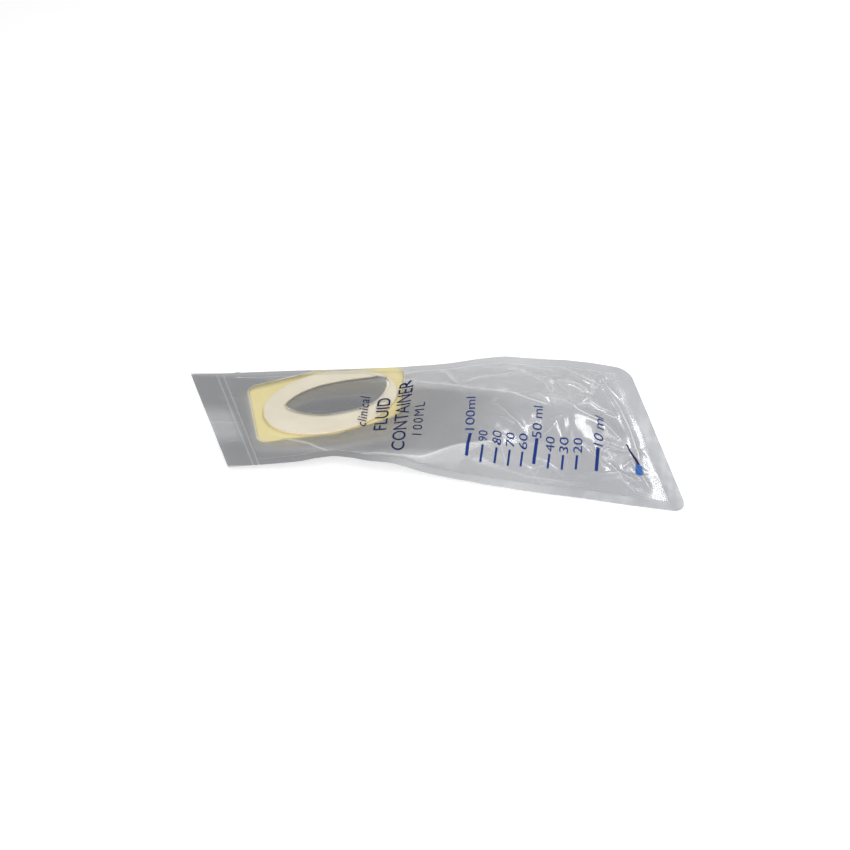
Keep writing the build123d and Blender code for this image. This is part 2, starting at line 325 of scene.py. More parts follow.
def upper(u, v):
    p = chord(u, v)
    x, y = p[..., 0], p[..., 1]
    end = end_u(v) - WELD_BOTTOM
    high = 0.5 + 7.7 * smooth(78.0, 128.0, u)
    z = high * smooth(BAND_END, BAND_END + 16.0, u) * smooth(0.0, 34.0, end - u) * profile(u, v)
    crease = np.zeros_like(x)
    for pts, h, w in FOLDS_UPPER:
        crease += ridge(x, y, pts, h, w)
    crease += 0.22 * noise(x, y, 21, 26, 3) * smooth(90, 130, u)
    crease += 0.07 * noise(x, y, 22, 15, 2)
    p[..., 2] += common(u, v, p) + FILM_STACK + np.maximum(0.0, z + crease * inside(u, v))
    return p


def lower(u, v):
    p = chord(u, v)
    x, y = p[..., 0], p[..., 1]
    end = end_u(v) - WELD_BOTTOM
    m = side_v(u)
    t = np.clip((v - m) / (1 - 2 * m), 0, 1)
    down = BELLY * smooth(100.0, 145.0, u) * smooth(0.0, 40.0, end - u) * 4 * t * (1 - t)
    crease = np.zeros_like(x)
    for pts, h, w in FOLDS_LOWER:
        crease += ridge(x, y, pts, h, w)
    crease *= smooth(98.0, 114.0, u)
    base = p[..., 2] + common(u, v, p) * np.where(u > 17.5, smooth(98, 112, u), 1.0) - down
    z = base + crease * inside(u, v)
    p[..., 2] = np.maximum(z, LOWEST + 0.04 * (z - LOWEST).clip(-5, 0))
    return p


# pad frame, mm
_yaw = math.radians(PAD_YAW)
PAD_N = Vector((-PAD_PITCH, -PAD_ROLL, 1)).normalized()
_rise = PAD_PITCH * math.cos(_yaw) + PAD_ROLL * math.sin(_yaw)
PAD_X = Vector((math.cos(_yaw), math.sin(_yaw), _rise)).normalized()
PAD_Y = PAD_N.cross(PAD_X)
PAD_O = Vector((PAD_CENTRE[0], PAD_CENTRE[1], float(pad_plane(*PAD_CENTRE))))


def closed_spline(points, count, bulge=0.5):
    """A closed Catmull-Rom curve through the points."""
    pts = np.asarray(points, float)
    n = len(pts)
    out = []
    for i in range(n):
        p0, p1, p2, p3 = pts[i - 1], pts[i], pts[(i + 1) % n], pts[(i + 2) % n]
        for t in np.linspace(0, 1, 40, endpoint=False):
            out.append(
                p1
                + bulge * (p2 - p0) * t
                + (2 * p0 - 5 * p1 + 4 * p2 - p3) * bulge * t * t
                + (-p0 + 3 * p1 - 3 * p2 + p3) * bulge * t**3
            )
    out = np.array(out)
    step = np.linalg.norm(np.roll(out, -1, 0) - out, axis=1)
    s = np.concatenate([[0], np.cumsum(step)])
    loop = np.vstack([out, out[:1]])
    at = np.linspace(0, s[-1], count, endpoint=False)
    return np.stack([np.interp(at, s, loop[:, k]) for k in (0, 1)], -1)


OPENING = [(-23.1, -1.6), (-18.0, 6.9), (-9.5, 13.0), (1.7, 16.3), (14.4, 17.4), (24.6, 16.9),
           (27.5, 10.6), (25.7, 1.0), (20.0, -7.4), (9.5, -12.3), (-4.8, -13.6), (-16.5, -8.8)]
LINER_CORNERS = [(-42.5, 21.3), (-9.0, 30.3), (35.5, 26.0), (33.0, -18.5), (2.0, -29.2), (-34.3, -30.0)]
LINER_R = 6.0
LINER_TURN = math.radians(9.2)   # the liner's own length against the pad's X
HOLE_MID = np.array([4.0, 2.5])
hole = closed_spline(OPENING, 240)


def rounded_outline(corners, radius, per_corner=12):
    """A polygon with rounded corners, as evenly spaced points."""
    pts = []
    n = len(corners)
    for i in range(n):
        here = np.array(corners[i])
        a, b = np.array(corners[i - 1]) - here, np.array(corners[(i + 1) % n]) - here
        a, b = a / np.linalg.norm(a), b / np.linalg.norm(b)
        half = math.acos(float(np.clip(a @ b, -1, 1))) / 2
        mid = here + (a + b) / np.linalg.norm(a + b) * radius / math.sin(half)
        start = here + a * radius / math.tan(half) - mid
        stop = here + b * radius / math.tan(half) - mid
        a0 = math.atan2(start[1], start[0])
        turn = (math.atan2(stop[1], stop[0]) - a0 + math.pi) % math.tau - math.pi
        for t in np.linspace(0, 1, per_corner):
            pts.append(mid + radius * np.array([math.cos(a0 + turn * t), math.sin(a0 + turn * t)]))
    loop = np.vstack([pts, pts[:1]])
    s = np.concatenate([[0], np.cumsum(np.linalg.norm(np.diff(loop, axis=0), axis=1))])
    at = np.linspace(0, s[-1], 720, endpoint=False)
    return np.stack([np.interp(at, s, loop[:, k]) for k in (0, 1)], -1)


liner_outline = rounded_outline(LINER_CORNERS, LINER_R)


def ray_radius(outline, angle):
    """How far an outline lies from the middle of the opening, by direction."""
    d = outline - HOLE_MID
    ang = np.arctan2(d[:, 1], d[:, 0])
    order = np.argsort(ang)
    return np.interp(angle, ang[order], np.hypot(d[:, 0], d[:, 1])[order], period=math.tau)


def beyond(outline, local):
    """Distance outside an outline along the ray from the opening's middle, negative inside it, mm."""
    d = local - HOLE_MID
    return np.hypot(d[..., 0], d[..., 1]) - ray_radius(outline, np.arctan2(d[..., 1], d[..., 0]))


# ---------------------------------------------------------------- meshes
def pad_local(p):
    """Bag-table points to the pad's own XY."""
    rel = np.asarray(p) - np.array(PAD_O)
    return np.stack([rel @ np.array(PAD_X), rel @ np.array(PAD_Y)], -1)


def set_attribute(obj, name, values):
    att = obj.data.attributes.new(name, "FLOAT", "POINT")
    att.data.foreach_set("value", np.asarray(values, dtype=np.float32).ravel())


def make_mesh(name, verts, faces):
    mesh = bpy.data.meshes.new(name)
    mesh.from_pydata([tuple(v) for v in verts], [], faces)
    mesh.update()
    mesh.shade_smooth()
    obj = bpy.data.objects.new(name, mesh)
    bpy.context.scene.collection.objects.link(obj)
    return obj


def seated(p):
    return (np.asarray(p) + SEAT) * MM


def grid_faces(nu, nv):
    faces = []
    for i in range(nu - 1):
        for j in range(nv - 1):
            a = i * nv + j
            faces.append((a, a + nv, a + nv + 1, a + 1))
    return faces


def no_crease(u, v):
    return np.zeros_like(u)


def grid_sheet(name, fn, u_from, u_to, v_from, v_to, nu, nv, veil_fn, crease_fn=no_crease):
    """A sheet between two lines across the bag and two lines along it."""
    s = np.linspace(0, 1, nu)[:, None] * np.ones((1, nv))
    t = np.linspace(0, 1, nv)[None, :] * np.ones((nu, 1))
    v = v_from(s * 200) * (1 - t) + v_to(s * 200) * t
    for _ in range(3):
        u = u_from(v) * (1 - s) + u_to(v) * s
        v = v_from(u) * (1 - t) + v_to(u) * t
    obj = make_mesh(name, seated(fn(u, v)).reshape(-1, 3), grid_faces(nu, nv))
    set_attribute(obj, "veil", veil_fn(u, v, fn(u, v)))
    set_attribute(obj, "crease", crease_fn(u, v))
    # painted light: lighter facets, header and patches, on every sheet but the underside film
    set_attribute(obj, "painted_light", painted_light_facets(u, v) if veil_fn is not veil_under else no_crease(u, v))
    uv = obj.data.uv_layers.new(name="bag")
    flat = np.stack([u, v * PRINT_WIDTH], -1).reshape(-1, 2) / 100.0
    idx = np.empty(len(obj.data.loops), dtype=np.int32)
    obj.data.loops.foreach_get("vertex_index", idx)
    uv.data.foreach_set("uv", flat[idx].ravel())
    return obj


def const(value):
    return lambda q: np.full_like(np.asarray(q, float), value)


def end_line(inset):
    return lambda v: end_u(v) - inset


# ---------------------------------------------------------------- materials
def new_material(name):
    mat = bpy.data.materials.new(name)
    mat.use_nodes = True
    nt = mat.node_tree
    for n in list(nt.nodes):
        nt.nodes.remove(n)
    out = nt.nodes.new("ShaderNodeOutputMaterial")
    bsdf = nt.nodes.new("ShaderNodeBsdfPrincipled")
    nt.links.new(bsdf.outputs["BSDF"], out.inputs["Surface"])
    return mat, nt, bsdf


def node(nt, kind, **values):
    n = nt.nodes.new(kind)
    for key, value in values.items():
        if key in n.inputs:
            n.inputs[key].default_value = value
        else:
            setattr(n, key, value)
    return n


def ramp(nt, source, stops):
    n = nt.nodes.new("ShaderNodeValToRGB")
    n.color_ramp.interpolation = "EASE"
    while len(n.color_ramp.elements) < len(stops):
        n.color_ramp.elements.new(0.5)
    for e, (pos, col) in zip(n.color_ramp.elements, stops):
        e.position = pos
        e.color = (*col, 1.0)
    nt.links.new(source, n.inputs["Fac"])
    return n


def film_material(name, tones, haze, bump=0.25, gloss=0.8, coat=0.4):
    """Clear film: see-through, glossy, with a faint haze that varies along the bag, painted light on its
    facets, and whitened creases that are partly stress whitening and partly painted highlights.
    """
    mat, nt, bsdf = new_material(name)
    coord = node(nt, "ShaderNodeTexCoord")
    sep = node(nt, "ShaderNodeSeparateXYZ")
    nt.links.new(coord.outputs["Object"], sep.inputs[0])
    along = node(nt, "ShaderNodeMapRange")
    along.inputs["From Min"].default_value = -0.125
    along.inputs["From Max"].default_value = 0.125
    nt.links.new(sep.outputs["X"], along.inputs["Value"])
    cloud = node(nt, "ShaderNodeTexNoise", Scale=26.0, Detail=4.0, Roughness=0.55)
    nt.links.new(coord.outputs["Object"], cloud.inputs["Vector"])
    add = node(nt, "ShaderNodeMath", operation="MULTIPLY_ADD")
    nt.links.new(cloud.outputs["Fac"], add.inputs[0])
    add.inputs[1].default_value = 0.14
    nt.links.new(along.outputs["Result"], add.inputs[2])
    tone = ramp(nt, add.outputs[0], tones)
    # crease whitening: partly the film's stress whitening, partly painted highlights on folds and wrinkles;
    # below it also makes the film more opaque there
    crease = node(nt, "ShaderNodeAttribute", attribute_name="crease")
    white = node(nt, "ShaderNodeMix", data_type="RGBA")
    white.inputs[7].default_value = (0.80, 0.81, 0.82, 1)
    nt.links.new(crease.outputs["Fac"], white.inputs[0])
    nt.links.new(white.outputs[2], bsdf.inputs["Base Color"])
    # painted light: the painted-light mask mixes a lighter grey into the film's tone
    painted_light = node(nt, "ShaderNodeAttribute", attribute_name="painted_light")
    facet = node(nt, "ShaderNodeMix", data_type="RGBA")
    facet.inputs[7].default_value = (0.50, 0.51, 0.53, 1)
    nt.links.new(painted_light.outputs["Fac"], facet.inputs[0])
    nt.links.new(tone.outputs["Color"], facet.inputs[6])
    nt.links.new(facet.outputs[2], white.inputs[6])
    veil = node(nt, "ShaderNodeAttribute", attribute_name="veil")
    see = node(nt, "ShaderNodeMath", operation="MULTIPLY_ADD")
    nt.links.new(crease.outputs["Fac"], see.inputs[0])
    see.inputs[1].default_value = 0.3
    nt.links.new(veil.outputs["Fac"], see.inputs[2])
    nt.links.new(see.outputs[0], bsdf.inputs["Alpha"])
    fine = node(nt, "ShaderNodeTexNoise", Scale=260.0, Detail=3.0, Roughness=0.6)
    nt.links.new(coord.outputs["Object"], fine.inputs["Vector"])
    rough = node(nt, "ShaderNodeMapRange")
    rough.inputs["To Min"].default_value = haze * 0.6
    rough.inputs["To Max"].default_value = haze * 1.6
    nt.links.new(fine.outputs["Fac"], rough.inputs["Value"])
    nt.links.new(rough.outputs["Result"], bsdf.inputs["Roughness"])
    b = node(nt, "ShaderNodeBump", Strength=bump, Distance=0.0004)
    soft = node(nt, "ShaderNodeTexNoise", Scale=110.0, Detail=4.0, Roughness=0.6, Distortion=0.6)
    nt.links.new(coord.outputs["Object"], soft.inputs["Vector"])
    nt.links.new(soft.outputs["Fac"], b.inputs["Height"])
    nt.links.new(b.outputs["Normal"], bsdf.inputs["Normal"])
    bsdf.inputs["IOR"].default_value = 1.52
    bsdf.inputs["Specular IOR Level"].default_value = gloss
    bsdf.inputs["Coat Weight"].default_value = coat
    bsdf.inputs["Coat Roughness"].default_value = 0.1
    return mat


TONES = [(0.0, (0.135, 0.14, 0.15)), (0.42, (0.12, 0.125, 0.14)), (0.60, (0.16, 0.165, 0.18)),
         (0.76, (0.31, 0.32, 0.34)), (1.0, (0.35, 0.36, 0.39))]
film_mat = film_material("clear_film", TONES, 0.17)
under_mat = film_material("clear_film_under", TONES, 0.2)
header_mat = film_material("clear_film_header", TONES, 0.2)
WELD_TONES = [(p, tuple(c * 0.9 + 0.01 for c in col)) for p, col in TONES]
weld_mat = film_material("weld", WELD_TONES, 0.32, 0.12, 0.35, 0.08)


def soft_material(name, low, high, rough, scale, bump, distance, spec=0.4):
    mat, nt, bsdf = new_material(name)
    coord = node(nt, "ShaderNodeTexCoord")
    grain = node(nt, "ShaderNodeTexNoise", Scale=scale, Detail=6.0, Roughness=0.65)
    nt.links.new(coord.outputs["Object"], grain.inputs["Vector"])
    patchy = node(nt, "ShaderNodeTexNoise", Scale=scale * 0.06, Detail=3.0)
    nt.links.new(coord.outputs["Object"], patchy.inputs["Vector"])
    mixf = node(nt, "ShaderNodeMath", operation="MULTIPLY_ADD")
    nt.links.new(patchy.outputs["Fac"], mixf.inputs[0])
    mixf.inputs[1].default_value = 0.6
    half = node(nt, "ShaderNodeMath", operation="MULTIPLY")
    half.inputs[1].default_value = 0.4
    nt.links.new(grain.outputs["Fac"], half.inputs[0])
    nt.links.new(half.outputs[0], mixf.inputs[2])
    col = ramp(nt, mixf.outputs[0], [(0.3, low), (0.7, high)])
    nt.links.new(col.outputs["Color"], bsdf.inputs["Base Color"])
    b = node(nt, "ShaderNodeBump", Strength=bump, Distance=distance)
    nt.links.new(grain.outputs["Fac"], b.inputs["Height"])
    nt.links.new(b.outputs["Normal"], bsdf.inputs["Normal"])
    r = node(nt, "ShaderNodeMapRange")
    r.inputs["To Min"].default_value = rough - 0.08
    r.inputs["To Max"].default_value = min(1.0, rough + 0.1)
    nt.links.new(grain.outputs["Fac"], r.inputs["Value"])
    nt.links.new(r.outputs["Result"], bsdf.inputs["Roughness"])
    bsdf.inputs["Specular IOR Level"].default_value = spec
    return mat


liner_mat = soft_material("liner_paper", (0.90, 0.78, 0.38), (0.96, 0.86, 0.47), 0.42, 900, 0.15, 0.0001)
foam_mat = soft_material("foam", (0.84, 0.74, 0.58), (0.91, 0.82, 0.67), 0.85, 1400, 0.35, 0.0002)
glue_mat = soft_material("adhesive", (0.88, 0.80, 0.62), (0.96, 0.90, 0.74), 0.3, 1200, 0.3, 0.0001)
INK = (1500, 0.1, 0.00003)     # grain, bump and bump depth
navy_mat = soft_material("ink_navy", (0.004, 0.009, 0.055), (0.008, 0.018, 0.085), 0.6, *INK, spec=0.2)
scale_mat = soft_material("ink_scale", (0.004, 0.022, 0.150), (0.008, 0.036, 0.210), 0.6, *INK, spec=0.2)
blue_mat = soft_material("ink_blue", (0.012, 0.085, 0.34), (0.025, 0.13, 0.46), 0.4, *INK)


def finish_piece(obj, mat, slot_name, *nodes, body="bag"):
    obj.data.materials.clear()
    obj.data.materials.append(mat)
    if nodes:
        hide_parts(*nodes)
    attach(obj, body)
    return obj


# ---------------------------------------------------------------- films
VEIL = 0.47          # how much one film hides
VEIL_END = 0.50      # the same at the drain end


def veil_base(u):
    return VEIL + (VEIL_END - VEIL) * smooth(110.0, 190.0, u)


# The clear window and the dark patch are painted this far in front of the liner and the opening, mm.
# The amounts were picked so that they line up at the photo's angle; they stay fixed to the film.
WINDOW_SHIFT = 3.4
WINDOW_SHIFT_UNDER = 2.8
WINDOW_SHIFT_WELD = 3.2
PATCH_SHIFT = 1.9
# the painted shadow band in front of the liner is moved this far in the same way
SHADE_SHIFT = 4.0
VEIL_WINDOW = 0.05
VEIL_WINDOW_UNDER = 0.04
VEIL_WINDOW_WELD = 0.16
VEIL_PATCH = 0.84
# painted shadow: the extra veil added in a band in front of the liner
VEIL_SHADE = 0.12    # added in a band in front of the liner


def window(p, shift, soft):
    """1 inside the liner's outline, moved towards the front edge; 0 outside it."""
    return smooth(soft, -soft, beyond(liner_outline, pad_local(p) + np.array([0.0, shift])))


def veil_upper(u, v, p):
    """Clear over the pad, dark over the opening, with a painted shadow, a darker band, in front of the liner.
    """
    local = pad_local(p)
    pad_here = window(p, WINDOW_SHIFT, 0.9)
    hole_here = smooth(0.2, -1.6, beyond(hole, local + np.array([0.0, PATCH_SHIFT])))
    # painted shadow: a darker veil in a band just in front of the liner
    shade = smooth(12.0, 2.0, beyond(liner_outline, local + np.array([0.0, SHADE_SHIFT])))
    shade = shade * smooth(-14.0, -22.0, local[..., 1])
    outside = veil_base(u) + VEIL_SHADE * shade * smooth(-20.0, -8.0, local[..., 0])
    out = outside * (1 - pad_here) + VEIL_WINDOW * pad_here
    return out * (1 - hole_here) + VEIL_PATCH * hole_here


def veil_under(u, v, p):
    pad_here = window(p, WINDOW_SHIFT_UNDER, 0.8)
    return veil_base(u) * (1 - pad_here) + VEIL_WINDOW_UNDER * pad_here


def veil_weld(u, v, p):
    """Two films' haze together, a little stronger towards the drain end."""
    one = veil_base(u) + 0.02 + 0.05 * smooth(150.0, 200.0, u)
    pad_here = window(p, WINDOW_SHIFT_WELD, 0.9)
    return (1 - (1 - one) ** 2) * (1 - pad_here) + VEIL_WINDOW_WELD * pad_here


def veil_header(u, v, p):
    return veil_base(u)


# Whitening along the folds and wrinkles: partly stress whitening, partly painted highlights.
def crease_whitening_and_sheen_upper(u, v):
    p = chord(u, v)
    x, y = p[..., 0], p[..., 1]
    out = ridge(x, y, FOLD_FRONT, 0.75, 0.55, 0.12, 0.2) + ridge(x, y, FOLD_REAR, 0.9, 0.55, 0.06, 0.2)
    for pts, high, wide in FOLDS_UPPER[2:]:
        out = np.maximum(out, ridge(x, y, pts, min(0.6, 0.55 * abs(high)), 0.5, 0.3, 0.2))
    return np.clip(out, 0, 1)


# Two whitened lines across the top weld band: partly the seal's edges, partly painted highlights.
def crease_whitening_and_sheen_band(u, v):
    out = np.exp(-(((u - BAND_START - 0.5) / 0.5) ** 2)) + np.exp(-(((u - BAND_END + 0.5) / 0.5) ** 2))
    return 0.28 * out


def rear_v(u):
    return 1 - side_v(u)


ACROSS = (const(0.0), const(1.0))
BODY = (const(BAND_END), end_line(WELD_BOTTOM))
BODY_GRID = (430, 170)
STRIP_GRID = (430, 12)
BAND_GRID = (18, 190)
END_GRID = (24, 210)
HEADER_GRID = (26, 190)

printed = grid_sheet(
    "printed_film_sheet", upper, *BODY, side_v, rear_v, *BODY_GRID, veil_upper, crease_whitening_and_sheen_upper
)
finish_piece(printed, film_mat, "clear_film", "printed_film")

under = grid_sheet("opening_film_sheet", lower, *BODY, side_v, rear_v, *BODY_GRID, veil_under)


def pad_points(pts):
    """Pad-local millimetres to row metres."""
    pts = np.asarray(pts, float)
    out = (
        np.array(PAD_O)
        + pts[..., 0:1] * np.array(PAD_X)
        + pts[..., 1:2] * np.array(PAD_Y)
        + pts[..., 2:3] * np.array(PAD_N)
    )
    return seated(out)


def cut_opening(obj):
    """Cuts the opening out of the underside film and fits the cut edge to the outline."""
    bm = bmesh.new()
    bm.from_mesh(obj.data)
    local = pad_local(np.array([v.co for v in bm.verts]) / MM - SEAT)
    out = beyond(hole, local)
    away = local - HOLE_MID
    away /= np.linalg.norm(away, axis=1)[:, None]
    bm.verts.ensure_lookup_table()
    near = (out < 0) & (out > -0.62)
    for i in np.nonzero(near)[0]:
        step = away[i] * -out[i]
        bm.verts[i].co += (PAD_X * float(step[0]) + PAD_Y * float(step[1])) * MM
    kill = [bm.verts[i] for i in np.nonzero((out < 0) & ~near)[0]]
    bmesh.ops.delete(bm, geom=kill, context="VERTS")
    bm.to_mesh(obj.data)
    bm.free()


cut_opening(under)
finish_piece(under, under_mat, "clear_film", "opening_film")


def weld_face(u, v):
    """Both films joined: the shared surface."""
    p = chord(u, v)
    p[..., 2] += common(u, v, p) + FILM_STACK * 0.5
    p[..., 2] = np.maximum(p[..., 2], LOWEST)
    return p


def ripple(amount, seed):
    """The weld strip's own slight cockle."""
    def fn(u, v):
        p = weld_face(u, v)
        p[..., 2] += amount * noise(p[..., 0], p[..., 1], seed, 11, 2) * smooth(20, 40, u)
        p[..., 2] = np.maximum(p[..., 2], LOWEST)
        return p
    return fn


front = grid_sheet(
    "front_side_weld_strip", ripple(0.04, 31), *BODY, const(0.0), side_v, *STRIP_GRID, veil_weld
)
rear = grid_sheet(
    "rear_side_weld_strip", ripple(0.03, 32), *BODY, rear_v, const(1.0), *STRIP_GRID, veil_weld
)
band = grid_sheet(
    "top_weld_band", weld_face, const(BAND_START), const(BAND_END), *ACROSS, *BAND_GRID, veil_weld, crease_whitening_and_sheen_band
)


def rounded_end(fn):
    """Pulls the square corners of the bottom weld in to round ones."""
    def out(u, v):
        rise = end_u(v) - u
        wide = width(u)
        for rear in (True, False):
            side = (1 - v) * wide if rear else v * wide
            p = np.clip((CORNER_R - rise) / CORNER_R, 0, 1)
            q = np.clip((CORNER_R - side) / CORNER_R, 0, 1)
            rise = CORNER_R - CORNER_R * p * np.sqrt(1 - q * q / 2)
            side_new = np.where(q > 0, CORNER_R - CORNER_R * q * np.sqrt(1 - p * p / 2), side)
            rise = np.where(p > 0, rise, end_u(v) - u)
            v = 1 - side_new / wide if rear else side_new / wide
            u = end_u(v) - rise
        return fn(u, v)
    return out


bottom = grid_sheet(
    "bottom_weld_strip", rounded_end(ripple(0.08, 33)), end_line(WELD_BOTTOM), end_line(0.0),
    *ACROSS, *END_GRID, veil_weld
)


def header_sheet(lift, seed):
    def fn(u, v):
        p = chord(u, v)
        loose = 1 - smooth(2.0, BAND_START, u)
        sway = 0.6 + 0.4 * noise(p[..., 0], p[..., 1], seed, 45, 2)
        p[..., 2] += common(u, v, p) + lift * loose * sway
        p[..., 2] += FILM_STACK * 0.5
        p[..., 2] = np.maximum(p[..., 2], LOWEST)
        return p
    return fn


HEADER = (const(0.0), const(BAND_START))
head_top = grid_sheet(
    "header_front_sheet_film", header_sheet(1.0, 41), *HEADER, *ACROSS, *HEADER_GRID, veil_header
)
head_back = grid_sheet(
    "header_back_sheet_film", header_sheet(0.0, 42), *HEADER, *ACROSS, *HEADER_GRID, veil_header
)
finish_piece(front, weld_mat, "weld", "front_side_weld")
finish_piece(rear, weld_mat, "weld", "rear_side_weld")
finish_piece(band, weld_mat, "weld", "top_weld")
finish_piece(bottom, weld_mat, "weld", "bottom_weld")
finish_piece(head_top, header_mat, "clear_film", "header_front_sheet")
finish_piece(head_back, header_mat, "clear_film", "header_back_sheet")


# ---------------------------------------------------------------- pad
def layer_ring(name, outer_pts, inner_pts, z_top, z_bottom, bevel, rings=10):
    """A closed ring solid between two outlines, with rounded edges."""
    n = len(outer_pts)

    def rays(loop):
        at = np.linspace(-math.pi, math.pi, n, endpoint=False)
        r = ray_radius(loop, at)
        return HOLE_MID + np.stack([r * np.cos(at), r * np.sin(at)], -1)

    o, i = rays(outer_pts), rays(inner_pts)
    span = np.linalg.norm(o - i, axis=1)[:, None]
    bevel = min(bevel, (z_top - z_bottom) * 0.49)
    prof = []
    for k in range(5):
        a = math.pi / 2 * k / 4
        prof.append(("i", bevel * (1 - math.cos(a)), z_top - bevel * (1 - math.sin(a))))
    for k in range(1, rings):
        prof.append(("m", k / rings, z_top))
    for k in range(5):
        a = math.pi / 2 * (1 - k / 4)
        prof.append(("o", bevel * (1 - math.cos(a)), z_top - bevel * (1 - math.sin(a))))
    for k in range(5):
        a = math.pi / 2 * k / 4
        prof.append(("o", bevel * (1 - math.cos(a)), z_bottom + bevel * (1 - math.sin(a))))
    for k in range(1, rings):
        prof.append(("m", 1 - k / rings, z_bottom))
    for k in range(5):
        a = math.pi / 2 * (1 - k / 4)
        prof.append(("i", bevel * (1 - math.cos(a)), z_bottom + bevel * (1 - math.sin(a))))
    verts = []
    d = (o - i) / span
    for where, a, z in prof:
        if where == "i":
            xy = i + d * a
        elif where == "o":
            xy = o - d * a
        else:
            xy = i + (o - i) * a
        verts.append(np.hstack([xy, np.full((n, 1), z)]))
    verts = np.array(verts)
    m = len(prof)
    faces = []
    for a in range(m):
        b = (a + 1) % m
        for k in range(n):
            kk = (k + 1) % n
            faces.append((a * n + k, a * n + kk, b * n + kk, b * n + k))
    return make_mesh(name, pad_points(verts.reshape(-1, 3)), faces)


RING_CENTRE = np.array([-1.0, -1.0])
RING_TURN = math.radians(18.0)
RING_LENGTH, RING_WIDTH = 66.0, 54.0


def ring_outline(grow):
    """The foam's outer edge, slightly uneven as die-cut foam is."""
    ang = np.linspace(0, math.tau, 240, endpoint=False)
    out = np.stack([(RING_LENGTH / 2 + grow) * np.cos(ang), (RING_WIDTH / 2 + grow) * np.sin(ang)], -1)
    out *= (1 + 0.003 * np.cos(3 * ang + 0.6) + 0.002 * np.cos(7 * ang))[:, None]
    c, k = math.cos(RING_TURN), math.sin(RING_TURN)
    return RING_CENTRE + np.stack([c * out[:, 0] - k * out[:, 1], k * out[:, 0] + c * out[:, 1]], -1)


# each layer's top and bottom, mm from the pad's plane, and its edge rounding
FILM_GLUE = (-0.05, -0.25, 0.08)
FOAM = (-0.30, -1.45, 0.5)
SKIN_GLUE = (-1.52, -1.70, 0.07)
GLUE_INSET = -0.3
film_glue = layer_ring("film_adhesive_layer", ring_outline(GLUE_INSET), hole, *FILM_GLUE)
finish_piece(film_glue, glue_mat, "adhesive", "film_adhesive_ring")
foam = layer_ring("foam_pad", ring_outline(0.0), hole, *FOAM)
finish_piece(foam, foam_mat, "foam", "foam_ring")
skin_glue = layer_ring("skin_adhesive_layer", ring_outline(GLUE_INSET), hole, *SKIN_GLUE)
finish_piece(skin_glue, glue_mat, "adhesive", "skin_adhesive_ring")


LINER_LEVEL = -1.82      # the paper's middle, mm from the pad's plane
LINER_THICK = 0.2
TAB_LIFT = 0.5
FOLD_DEPTH = 0.12
PAPER_WAVE = 0.04


def liner_piece():
    """The release paper: thin, with the same cut-out, a fold line by its tab and a slight lift there."""
    n, rings = 420, 30
    at = np.linspace(-math.pi, math.pi, n, endpoint=False)
    ray = np.stack([np.cos(at), np.sin(at)], -1)
    outer_r = ray_radius(liner_outline, at)
    inner_r = ray_radius(hole, at) + 0.15
    k = np.linspace(0, 1, rings + 1)[:, None]
    r = inner_r * (1 - k) + outer_r * k
    xy = HOLE_MID + ray[None] * r[..., None]
    x, y = xy[..., 0], xy[..., 1]
    to_tab = x * math.cos(LINER_TURN) + y * math.sin(LINER_TURN)
    tab = smooth(-33.5, -39.5, to_tab)
    fold = np.exp(-(((to_tab + 34.0) / 0.5) ** 2))
    z = LINER_LEVEL + TAB_LIFT * tab * tab - FOLD_DEPTH * fold
    z = z - PAPER_WAVE * np.abs(noise(x, y, 51, 30, 2))
    verts = np.stack([x, y, z], -1)
    faces = []
    for i in range(rings):
        for j in range(n):
            jj = (j + 1) % n
            faces.append((i * n + j, i * n + jj, (i + 1) * n + jj, (i + 1) * n + j))
    obj = make_mesh("release_liner_sheet", pad_points(verts.reshape(-1, 3)), faces)
    mod = obj.modifiers.new("thickness", "SOLIDIFY")
    mod.thickness = LINER_THICK * MM
    mod.offset = 0
    return obj


liner = liner_piece()
finish_piece(liner, liner_mat, "liner_paper", "release_liner", body="liner")


# ---------------------------------------------------------------- printing
LIFT = 0.14          # the ink above the film, mm


def split_fine(mesh, step):
    """Cuts a flat text mesh along a fine grid so that it can follow the film."""
    bm = bmesh.new()
    bm.from_mesh(mesh)
    for axis in (0, 1):
        vals = [v.co[axis] for v in bm.verts]
        if not vals:
            break
        lo, hi = min(vals), max(vals)
        k = lo + step
        no = [0, 0, 0]
        no[axis] = 1
        while k < hi:
            co = [0, 0, 0]
            co[axis] = k
            geom = bm.verts[:] + bm.edges[:] + bm.faces[:]
            bmesh.ops.bisect_plane(bm, geom=geom, dist=1e-6, plane_co=co, plane_no=no)
            k += step
    bm.to_mesh(mesh)
    bm.free()


def flat_text(text, size, shear=0.0, spacing=1.0, bold=0.0):
    """Text as flat verts and faces in millimetres, starting at 0,0 and reading along +X."""
    cu = bpy.data.curves.new("t", "FONT")
    cu.body = text
    cu.size = size / 0.7
    cu.shear = shear
    cu.space_character = spacing
    cu.offset = bold
    cu.resolution_u = 6
    ob = bpy.data.objects.new("t", cu)
    bpy.context.scene.collection.objects.link(ob)
    solved = ob.evaluated_get(bpy.context.evaluated_depsgraph_get())
    mesh = bpy.data.meshes.new_from_object(solved)
    bpy.data.objects.remove(ob)
    bpy.data.curves.remove(cu)
    split_fine(mesh, 0.9)
    pts = np.array([v.co[:2] for v in mesh.vertices])
    faces = [tuple(p.vertices) for p in mesh.polygons]
    bpy.data.meshes.remove(mesh)
    pts[:, 0] -= pts[:, 0].min()
    return pts, faces


def put_text(bag, text, size, u_base, v_from, v_to, lean=0.0, **kw):
    """Adds text to a list of parts. It reads from the front edge to the rear; its foot is at u_base."""
    pts, faces = flat_text(text, size, **kw)
    wide = width(u_base)
    v = v_from + (v_to - v_from) * pts[:, 0] / pts[:, 0].max()
    u = u_base - pts[:, 1] + lean * (v - (v_from + v_to) / 2) * wide
    bag.append((u, v, faces))


